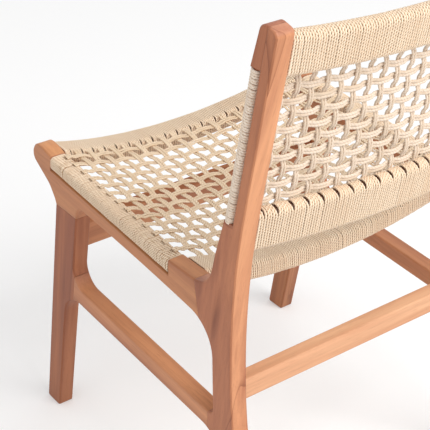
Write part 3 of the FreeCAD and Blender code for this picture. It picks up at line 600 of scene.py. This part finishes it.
def seat_wefts():
    """The strands of the seat that run across it."""
    wefts = []
    overrun = 9 * MM
    reach = INNER_HALF_WIDTH + overrun
    x = np.linspace(-reach, reach, SEAT_WEFT_POINTS)
    beyond = np.abs(x) - INNER_HALF_WIDTH
    away = eased(-beyond / overrun)
    for row in range(SEAT_WEFT_COUNT):
        y = SEAT_FIRST_WEFT + row * SEAT_WEFT_PITCH
        wave = -SEAT_WAVE * over_and_under(count_at(x, SEAT_COLUMNS) + row) * away
        for side in pair(SEAT_STRAND):
            line = seat_point(x, y + side + wandering(len(x), SEAT_STRAY))
            line[:, 2] += wave + seat_weft_ends(beyond)
            wefts.append(rope(line, REARWARD, depth=0.07, **SEAT_CORD))
    return wefts


def into_low_rail(x):
    """Points that lead a warp down between the turns on the top of the lower rail."""
    bar = BARS["back_lower"]
    u = np.linspace(*LOW_END_U, LOW_END_POINTS)
    sink = np.linspace(*LOW_END_SINK, LOW_END_POINTS)
    return bar.point(x, u, bar.tall / 2 + sink)


def up_top_rail(x):
    """Points that lead a warp up the front of the top rail."""
    bar = BARS["back_top"]
    rise = np.linspace(*TOP_END_RISE, TOP_END_POINTS)
    sink = np.linspace(*TOP_END_SINK, TOP_END_POINTS)
    return bar.point(x, -bar.depth / 2 + RADIUS + sink, -bar.tall / 2 + rise)


def behind(wave):
    """Moves square to the back's weave, from how far they go rearwards."""
    return wave[:, None] * np.array([0, math.cos(POST_ANGLE), -math.sin(POST_ANGLE)])


def back_warps():
    """The strands of the back that run up."""
    warps = []
    height = np.linspace(BACK_WARP_START, BACK_WARP_END, BACK_WARP_POINTS)
    away = between(height, BACK_WARP_START, BACK_WARP_END, BACK_WARP_EASE)
    rows = (height - BACK_FIRST_WEFT) / BACK_WEFT_PITCH
    for count, place in warps_of(BACK_COLUMNS, BACK_WARPS_A_SIDE):
        wave = -BACK_WAVE * over_and_under(rows + count) * away
        for side in pair(BACK_WARP):
            x = place + side + wandering(len(height), BACK_WARP_STRAY)
            line = back_point(x, height) + behind(wave)
            line = np.concatenate([into_low_rail(line[0, 0]), line, up_top_rail(line[-1, 0])])
            warps.append(rope(line, ACROSS, depth=0.11, width=BACK_WARP))
    return warps


def back_wefts():
    """The strands of the back that run across it."""
    wefts = []
    x = np.linspace(-INNER_HALF_WIDTH, INNER_HALF_WIDTH, BACK_WEFT_POINTS)
    for row in range(BACK_WEFT_COUNT):
        height = BACK_FIRST_WEFT + row * BACK_WEFT_PITCH
        wave = BACK_WAVE * over_and_under(count_at(x, BACK_COLUMNS) + row)
        for side in pair(BACK_WEFT):
            shift = side + wandering(len(x), BACK_WEFT_STRAY)
            line = back_point(x, height + shift) + behind(wave)
            wefts.append(rope(line, UPWARD, depth=0.03, width=BACK_WEFT, height=0.85 * CORD, side_shade=0.1))
    return wefts


# Materials.

class Shading:
    """The nodes of a material or of the world. Most functions add a node and give its output."""

    def __init__(self, tree):
        self.nodes = tree.nodes
        self.links = tree.links

    def fill(self, node, inputs):
        """Feed a node's inputs, by name or number: outputs are linked and plain values set."""
        for name, value in inputs.items():
            if isinstance(value, bpy.types.NodeSocket):
                self.links.new(value, node.inputs[name])
            else:
                node.inputs[name].default_value = value

    def add(self, kind, inputs):
        node = self.nodes.new(kind)
        self.fill(node, inputs)
        return node

    def coordinates(self, kind):
        return self.nodes.new("ShaderNodeTexCoord").outputs[kind]

    def attribute(self, name):
        node = self.nodes.new("ShaderNodeAttribute")
        node.attribute_name = name
        return node.outputs["Fac"]

    def maths(self, operation, *values, clamp=False):
        node = self.nodes.new("ShaderNodeMath")
        node.operation = operation
        node.use_clamp = clamp
        self.fill(node, dict(enumerate(values)))
        return node.outputs[0]

    def scaled(self, value, low, high):
        """A value from 0 to 1 brought to the range from low to high."""
        node = self.add("ShaderNodeMapRange", {"Value": value, "To Min": low, "To Max": high})
        return node.outputs["Result"]

    def ramp(self, source, stops):
        """The colour at a value, from stops of place and colour."""
        node = self.add("ShaderNodeValToRGB", {"Fac": source})
        elements = node.color_ramp.elements
        while len(elements) < len(stops):
            elements.new(0.5)
        for element, (place, colour) in zip(elements, stops):
            element.position = place
            element.color = colour
        return node.outputs["Color"]

    def mixed(self, kind, amount, one, two):
        """Two colours mixed; the node's sockets for colours can be told apart only by number."""
        node = self.nodes.new("ShaderNodeMix")
        node.data_type = "RGBA"
        node.blend_type = kind
        self.fill(node, {0: amount, 6: one, 7: two})
        return node.outputs[2]

    def tinted(self, colour, tint, strength=1):
        return self.mixed("MULTIPLY", strength, colour, tint)

    def noise(self, place, scale, detail, distortion=0):
        node = self.add("ShaderNodeTexNoise", {
            "Vector": place, "Scale": scale, "Detail": detail, "Distortion": distortion,
        })
        return node.outputs["Fac"]

    def grain(self, place, share, **pattern):
        """Noise that is drawn out along the grain."""
        stretched = self.add("ShaderNodeMapping", {"Vector": place, "Scale": (1, 1, share)})
        return self.noise(stretched.outputs["Vector"], **pattern)

    def seen_directly(self):
        """1 for rays from the camera and for what it sees mirrored or through things, otherwise 0."""
        rays = self.nodes.new("ShaderNodeLightPath").outputs
        mirrored = self.maths("MAXIMUM", rays["Is Camera Ray"], rays["Is Glossy Ray"])
        return self.maths("MAXIMUM", mirrored, rays["Is Transmission Ray"])


def new_material(name):
    """A new material with its shading and its shader."""
    material = bpy.data.materials.new(name)
    material.use_nodes = True
    shading = Shading(material.node_tree)
    return material, shading, shading.nodes["Principled BSDF"]


def cord_material(name, shade_colour, crest_colour, tone_colour):
    """Twisted paper cord: painted shade between its plies and on its sides, with fibres and slow changes of
    tone.
    """
    material, shading, shader = new_material(name)
    # Painted shade: the cord falls from its crest colour to a darker colour in the hollows between its plies
    # and where it touches the next cord.
    colour = shading.ramp(shading.attribute("cord_shade"), [
        (0.0, crest_colour), (CREST_END, crest_colour), (1.0, shade_colour),
    ])
    drift = shading.maths("MULTIPLY_ADD", shading.attribute("tone"), TONE_GAIN, TONE_MIDDLE, clamp=True)
    colour = shading.mixed("MIX", drift, colour, tone_colour)
    fibre = shading.noise(shading.coordinates("Object"), **FIBRE)
    bump = shading.add("ShaderNodeBump", {"Height": fibre, "Strength": 0.3, "Distance": 0.3 * MM})
    shading.fill(shader, {
        "Base Color": shading.mixed("OVERLAY", FIBRE_STRENGTH, colour, shading.ramp(fibre, FIBRE_STOPS)),
        "Normal": bump.outputs["Normal"],
        "Roughness": 0.75,
        "Specular IOR Level": 0.25,
        "Sheen Weight": 0.1,
    })
    return material


def on_faces(shading, direction, tint):
    """White, falling to the tint on faces that look in the direction or away from it."""
    facing = shading.nodes.new("ShaderNodeVectorMath")
    facing.operation = "DOT_PRODUCT"
    shading.fill(facing, {0: shading.coordinates("Normal"), 1: Vector(direction).normalized()})
    size = shading.maths("ABSOLUTE", facing.outputs["Value"])
    return shading.ramp(size, [(FACE_TURNED_AWAY, WHITE), (FACE_TURNED_TO, tint)])


def shade_near_the_floor(shading, tint):
    """Painted shade: white, falling to the tint down the last third of a metre above the floor."""
    parted = shading.add("ShaderNodeSeparateXYZ", {"Vector": shading.coordinates("Object")})
    return shading.ramp(parted.outputs["Z"], [(0.0, tint), (FLOOR_SHADE_REACH, WHITE)])


def wood_material(name, along, seed, colours, rings=5, line_strength=0.45, flat_face_and_shade=WHITE, floor_shade=WHITE):
    """Oiled hardwood whose grain runs in the direction along; colours go from dark to pale.

    Rings is how densely the dark edges of growth rings come to the surface, in long narrow loops, and
    line_strength how dark they are. Flat_face_and_shade is the tint of the side faces that look across
    the chair: partly the flat-sawn faces, which are darker than the edges of the board, and partly
    painted shade on these sides. Floor_shade is the painted shade that darkens the wood towards the floor.
    """
    material, shading, shader = new_material(name)
    turn = shading.nodes.new("ShaderNodeMapping")
    turn.vector_type = "TEXTURE"
    shading.fill(turn, {
        "Vector": shading.coordinates("Object"),
        "Location": [seed * step for step in SEED_STEPS],
        "Rotation": Vector(along).to_track_quat("Z", "Y").to_euler(),
    })
    place = turn.outputs["Vector"]
    figure = shading.grain(place, **FIGURE)
    pores = shading.grain(place, **PORES)
    ring = shading.maths("FRACT", shading.maths("MULTIPLY", shading.grain(place, **RING_FIELD), rings))
    streaks = shading.grain(place, **STREAKS)
    colour = shading.ramp(figure, list(zip(FIGURE_PLACES, colours)))
    colour = shading.tinted(colour, shading.ramp(ring, RING_STOPS), line_strength)
    colour = shading.tinted(colour, shading.ramp(streaks, STREAK_STOPS), STREAK_STRENGTH)
    colour = shading.tinted(colour, shading.ramp(pores, PORE_STOPS), PORE_STRENGTH)
    colour = shading.tinted(colour, on_faces(shading, along, END_GRAIN))
    # Partly painted shade: the side faces across the chair are darkened, as flat-sawn faces are darker and
    # as painted shade on these sides.
    colour = shading.tinted(colour, on_faces(shading, ACROSS, flat_face_and_shade))
    # Painted shade: the wood darkens towards the floor.
    colour = shading.tinted(colour, shade_near_the_floor(shading, floor_shade))
    soft = shading.add("ShaderNodeBevel", {"Radius": SOFT_EDGE})
    soft.samples = 4
    bump = shading.add("ShaderNodeBump", {
        "Height": pores, "Strength": 0.1, "Distance": 0.25 * MM, "Normal": soft.outputs["Normal"],
    })
    shading.fill(shader, {
        "Base Color": colour,
        "Roughness": shading.scaled(figure, LEAST_ROUGH, MOST_ROUGH),
        "Normal": bump.outputs["Normal"],
        "Specular IOR Level": 0.35,
    })
    return material


def dress(name, material):
    """Give a CAD node its material."""
    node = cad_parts[name]
    node.data.materials.clear()
    node.data.materials.append(material)


def wood_looks():
    """The wood of each node that shows, with the grain along the piece or a little askew in it.

    The right front leg is paler than the left one.
    """
    common = (linear(174, 111, 78), linear(199, 137, 98), linear(216, 154, 112))
    rear_toned = (linear(182, 118, 84), linear(208, 144, 104), linear(226, 162, 118))
    golden = (linear(186, 121, 80), linear(211, 147, 100), linear(226, 163, 112))
    deep_toned = (linear(150, 87, 58), linear(176, 112, 78), linear(200, 134, 96))
    light = (linear(200, 142, 104), linear(216, 160, 122), linear(228, 177, 138))
    seat_way = (0, 1, -SEAT_FALL)
    askew_in_post = (-0.1, POST_LEAN * 0.8, 1)
    # The side-face tints are partly painted shade.
    kinds = {
        "front_leg": dict(
            along=(0, FRONT_LEG_LEAN, 1), colours=deep_toned, rings=5, line_strength=0.7,
            # The last tint here is painted shade towards the floor.
            flat_face_and_shade=(1, 0.88, 0.72, 1), floor_shade=(0.78, 0.74, 0.72, 1),
        ),
        "rear_leg": dict(
            along=askew_in_post, colours=rear_toned, rings=7, line_strength=1,
            flat_face_and_shade=(0.76, 0.62, 0.58, 1),
        ),
        "back_strip": dict(
            along=(0, POST_LEAN, 1), colours=deep_toned, rings=3, line_strength=0.3,
            flat_face_and_shade=(0.95, 0.86, 0.82, 1),
        ),
        "seat_rail": dict(
            along=seat_way, colours=golden, rings=4, line_strength=0.4,
            flat_face_and_shade=(0.88, 0.82, 0.84, 1),
        ),
        "side_stretcher": dict(
            along=seat_way, colours=common, rings=4, line_strength=0.3,
            flat_face_and_shade=(0.97, 0.9, 0.86, 1),
        ),
    }
    looks = {side + "_" + kind: look for kind, look in kinds.items() for side in ("left", "right")}
    looks["right_front_leg"] = dict(kinds["front_leg"], colours=common)
    looks["rear_stretcher"] = dict(along=ACROSS, colours=light, rings=3, line_strength=0.3)
    looks["front_cross_rail"] = dict(along=ACROSS, colours=common, rings=3, line_strength=0.3)
    return looks


def finish_wood():
    """Give each wooden CAD node its wood; bars inside the cord and dowels hardly show. The bars inside the
    cord get a dark wood as painted shade, which shows in the slits between the turns.
    """
    for seed, (name, look) in enumerate(wood_looks().items(), start=1):
        dress(name, wood_material(name + "_wood", seed=seed, **look))
    # Painted shade: the dark wood of the bars inside the cord stands for deep shade in the slits.
    dark = (linear(64, 40, 28), linear(80, 50, 35), linear(100, 64, 44))
    pale = (linear(199, 137, 98), linear(216, 154, 112), linear(222, 178, 136))
    shaded_core = wood_material("core_wood_painted_shade", ACROSS, seed=20, colours=dark)
    pin = wood_material("dowel_wood", (0, 0.1, 1), seed=21, colours=pale)
    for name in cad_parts:
        if name in CORES:
            dress(name, shaded_core)
        if name.endswith("_dowels"):
            dress(name, pin)


def wind_bars(material):
    """Wind the curved bars."""
    seat_edge = dict(reach=6 * MM, width=2.6 * MM, slit=0.5, drag=0.3 * MM)
    landings = {
        "seat_front": Landing(middle=(21 * MM, 13 * MM), **seat_edge),
        "seat_rear": Landing(middle=(-21 * MM, 13 * MM), **seat_edge),
        "back_top": Landing(middle=(-10.5 * MM, -25 * MM), reach=7 * MM, width=2.6 * MM, slit=0.07),
        "back_lower": Landing(
            middle=(-1 * MM, 30 * MM), reach=10 * MM, width=4.4 * MM, slit=0.32, drag=0.4 * MM,
        ),
    }
    for name, bar in BARS.items():
        columns = SEAT_COLUMNS if name.startswith("seat") else BACK_COLUMNS
        line = bar_cord(bar, landings[name], columns)
        cord_piece(name + "_cord", [rope(line, ACROSS)], material, name + "_cord_wrap")


def wind_sides(seat_material, back_material):
    """Wind the upper bars of the seat rails and the strips of the back."""
    seat_bar, back_bar = seat_side_bar(), back_side_bar()
    for side, sign in (("left", 1), ("right", -1)):
        seat = side_cord(seat_bar, sign)
        back = side_cord(back_bar, sign)
        # Painted shade on the sides of the turns, where they touch.
        seat_ropes = [rope(seat, REARWARD, side_shade=0.44)]
        back_ropes = [rope(back, UPWARD, depth=0.08, side_shade=0.36)]
        cord_piece(side + "_seat_cord", seat_ropes, seat_material, side + "_seat_cord_wrap")
        cord_piece(side + "_back_cord", back_ropes, back_material, side + "_back_cord_wrap")


def make_cord():
    """Replace the CAD wraps and sheets by wound and woven cord."""
    colours = {
        "beige": (linear(198, 162, 125), linear(244, 224, 199), linear(233, 208, 180)),
        "strand": (linear(196, 162, 126), linear(242, 220, 192), linear(225, 199, 167)),
        "cream": (linear(204, 180, 153), linear(226, 208, 190), linear(212, 191, 168)),
        "pale": (linear(228, 208, 186), linear(247, 231, 214), linear(238, 219, 199)),
    }
    cords = {name: cord_material(name + "_cord", *shades) for name, shades in colours.items()}
    wind_bars(cords["beige"])
    wind_sides(cords["beige"], cords["pale"])
    cord_piece("seat_warps", seat_warps(), cords["strand"], "seat_weave")
    cord_piece("seat_wefts", seat_wefts(), cords["strand"], "seat_weave")
    cord_piece("back_warps", back_warps(), cords["cream"], "back_weave")
    cord_piece("back_wefts", back_wefts(), cords["cream"], "back_weave")


# Stage, light and camera.

def make_stage():
    """A pale floor, which glows a little where the camera sees it."""
    mesh = bpy.data.meshes.new("floor")
    corners = [(x * FLOOR_REACH, y * FLOOR_REACH, 0) for x, y in ((-1, -1), (1, -1), (1, 1), (-1, 1))]
    mesh.from_pydata(corners, [], [(0, 1, 2, 3)])
    floor = bpy.data.objects.new("floor", mesh)
    bpy.context.scene.collection.objects.link(floor)
    material, shading, shader = new_material("floor")
    shading.fill(shader, {
        "Base Color": (0.74, 0.745, 0.75, 1),
        "Emission Color": (1, 0.99, 0.985, 1),
        "Emission Strength": shading.scaled(shading.seen_directly(), 0, FLOOR_GLOW),
        "Roughness": 0.9,
        "Specular IOR Level": 0.1,
    })
    mesh.materials.append(material)


def make_world():
    """Even white light, under which the camera sees a plain white background."""
    world = bpy.data.worlds.new("studio")
    bpy.context.scene.world = world
    world.use_nodes = True
    shading = Shading(world.node_tree)
    strength = shading.scaled(shading.seen_directly(), WORLD_LIGHT, WORLD_SEEN)
    shading.fill(shading.nodes["Background"], {"Color": WHITE, "Strength": strength})


def make_lamp(name, place, size, power, colour):
    data = bpy.data.lights.new(name, "AREA")
    data.shape = "SQUARE"
    data.size = size
    data.energy = power
    data.color = colour
    lamp = bpy.data.objects.new(name, data)
    lamp.location = place
    lamp.rotation_euler = (Vector(LAMP_TARGET) - Vector(place)).to_track_quat("-Z", "Y").to_euler()
    bpy.context.scene.collection.objects.link(lamp)


def make_camera():
    data = bpy.data.cameras.new("camera")
    data.sensor_width = SENSOR
    data.lens = FOCAL_PIXELS * SENSOR / PHOTO_WIDTH
    data.clip_start = NEAREST_SEEN
    data.clip_end = FARTHEST_SEEN
    forward = Vector((
        math.sin(CAMERA_YAW) * math.cos(CAMERA_PITCH),
        math.cos(CAMERA_YAW) * math.cos(CAMERA_PITCH),
        -math.sin(CAMERA_PITCH),
    ))
    right = forward.cross(Vector(UPWARD)).normalized()
    up = right.cross(forward)
    turned_right = right * math.cos(CAMERA_ROLL) + up * math.sin(CAMERA_ROLL)
    turned_up = up * math.cos(CAMERA_ROLL) - right * math.sin(CAMERA_ROLL)
    camera = bpy.data.objects.new("camera", data)
    turn = Matrix((turned_right, turned_up, -forward)).transposed()
    camera.matrix_world = Matrix.Translation(CAMERA_PLACE) @ turn.to_4x4()
    bpy.context.scene.collection.objects.link(camera)
    bpy.context.scene.camera = camera


make_camera()
finish_wood()
make_cord()
make_stage()
make_world()
for lamp_name, lamp_values in LAMPS.items():
    make_lamp(lamp_name, **lamp_values)
bpy.context.scene.view_settings.view_transform = "Standard"
